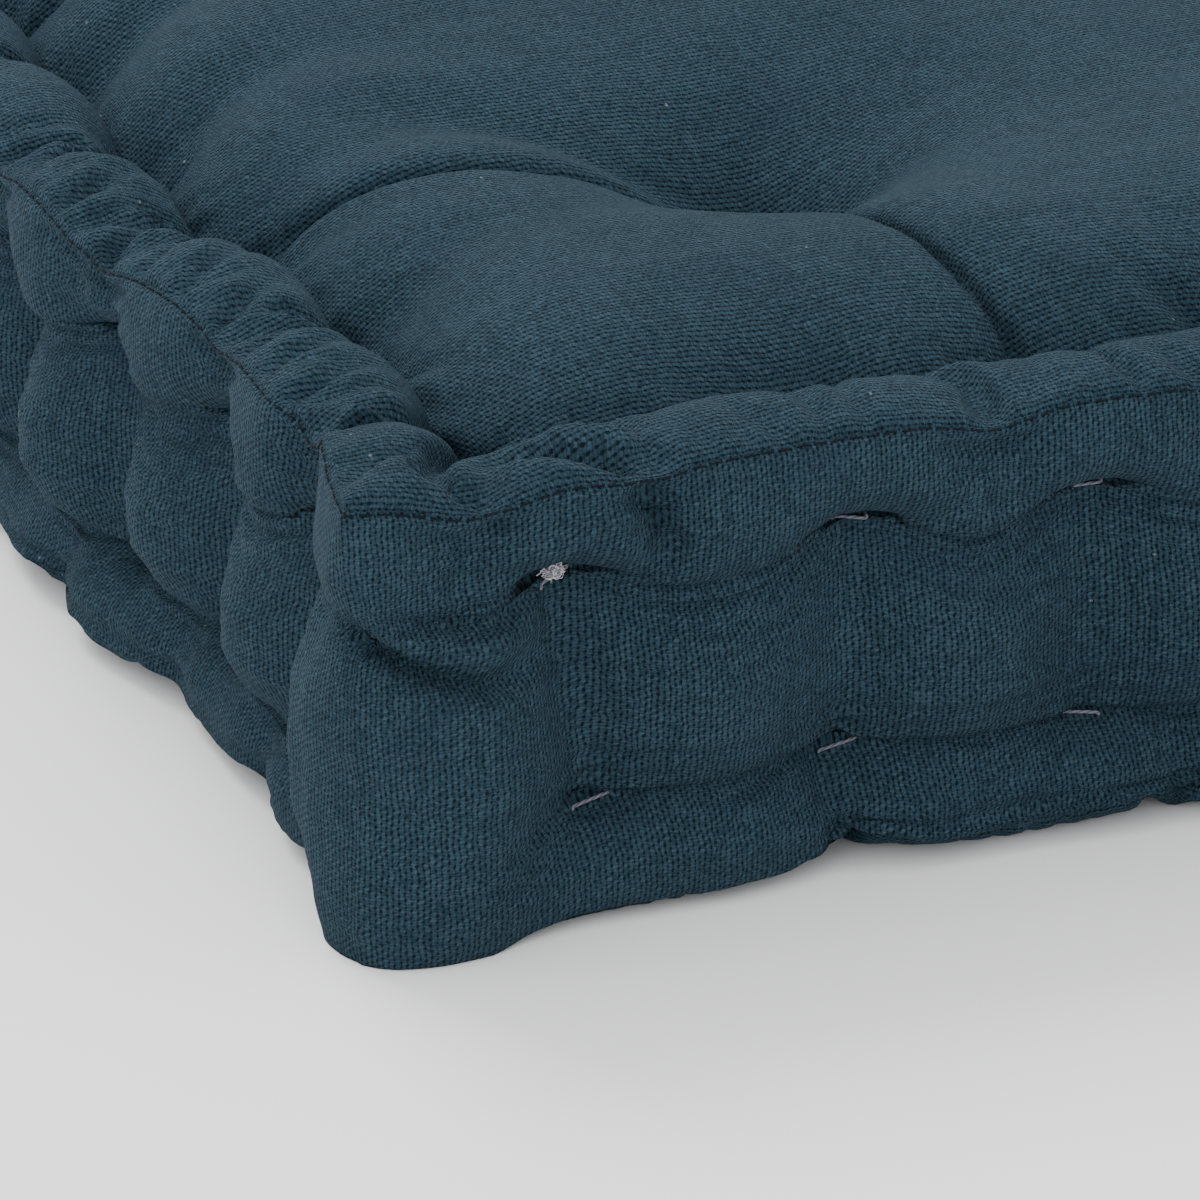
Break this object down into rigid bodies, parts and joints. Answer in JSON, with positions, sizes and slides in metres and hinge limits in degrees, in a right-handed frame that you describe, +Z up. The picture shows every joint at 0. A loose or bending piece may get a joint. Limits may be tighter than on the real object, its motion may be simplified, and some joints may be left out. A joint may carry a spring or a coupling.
{
  "type": "floor cushion",
  "caption": "Square tufted box floor cushion in dark petrol cotton canvas, with hand-stitched rolled edges top and bottom and a gathered boxing wall.",
  "frame": {"origin": "centre of the underside, on the floor that the cushion rests on", "axes": "+Z up through the thickness; +X along the front edge to the right; +Y from the front edge to the back edge"},
  "size_m": [0.4, 0.4, 0.088],
  "materials": {
    "canvas": "matte plain-weave cotton canvas, dark petrol blue",
    "filling": "loose off-white recycled cotton and polyester fibre",
    "sewing_thread": "matte dark polyester thread",
    "stitching_yarn": "dull grey-mauve cotton yarn",
    "tufting_twine": "waxed dark twine",
    "knot_cotton": "fluffy undyed cotton"
  },
  "bodies": {
    "root": {"top_panel": "canvas", "bottom_panel": "canvas", "boxing_strip_front_left": "canvas", "boxing_strip_back_right": "canvas", "upper_batt": "filling", "core_batt": "filling", "lower_batt": "filling", "top_seam_thread": "sewing_thread", "bottom_seam_thread": "sewing_thread", "boxing_join_thread_front_right": "sewing_thread", "boxing_join_thread_back_left": "sewing_thread", "tie_off_knot": "knot_cotton", "tuft_tie_front_left": "tufting_twine", "tuft_tie_front_right": "tufting_twine", "tuft_tie_back_left": "tufting_twine", "tuft_tie_back_right": "tufting_twine", "upper_roll_stitches_front": "stitching_yarn", "upper_roll_stitches_right": "stitching_yarn", "upper_roll_stitches_back": "stitching_yarn", "upper_roll_stitches_left": "stitching_yarn", "lower_roll_stitches_front": "stitching_yarn", "lower_roll_stitches_right": "stitching_yarn", "lower_roll_stitches_back": "stitching_yarn", "lower_roll_stitches_left": "stitching_yarn"}
  },
  "joints": []
}
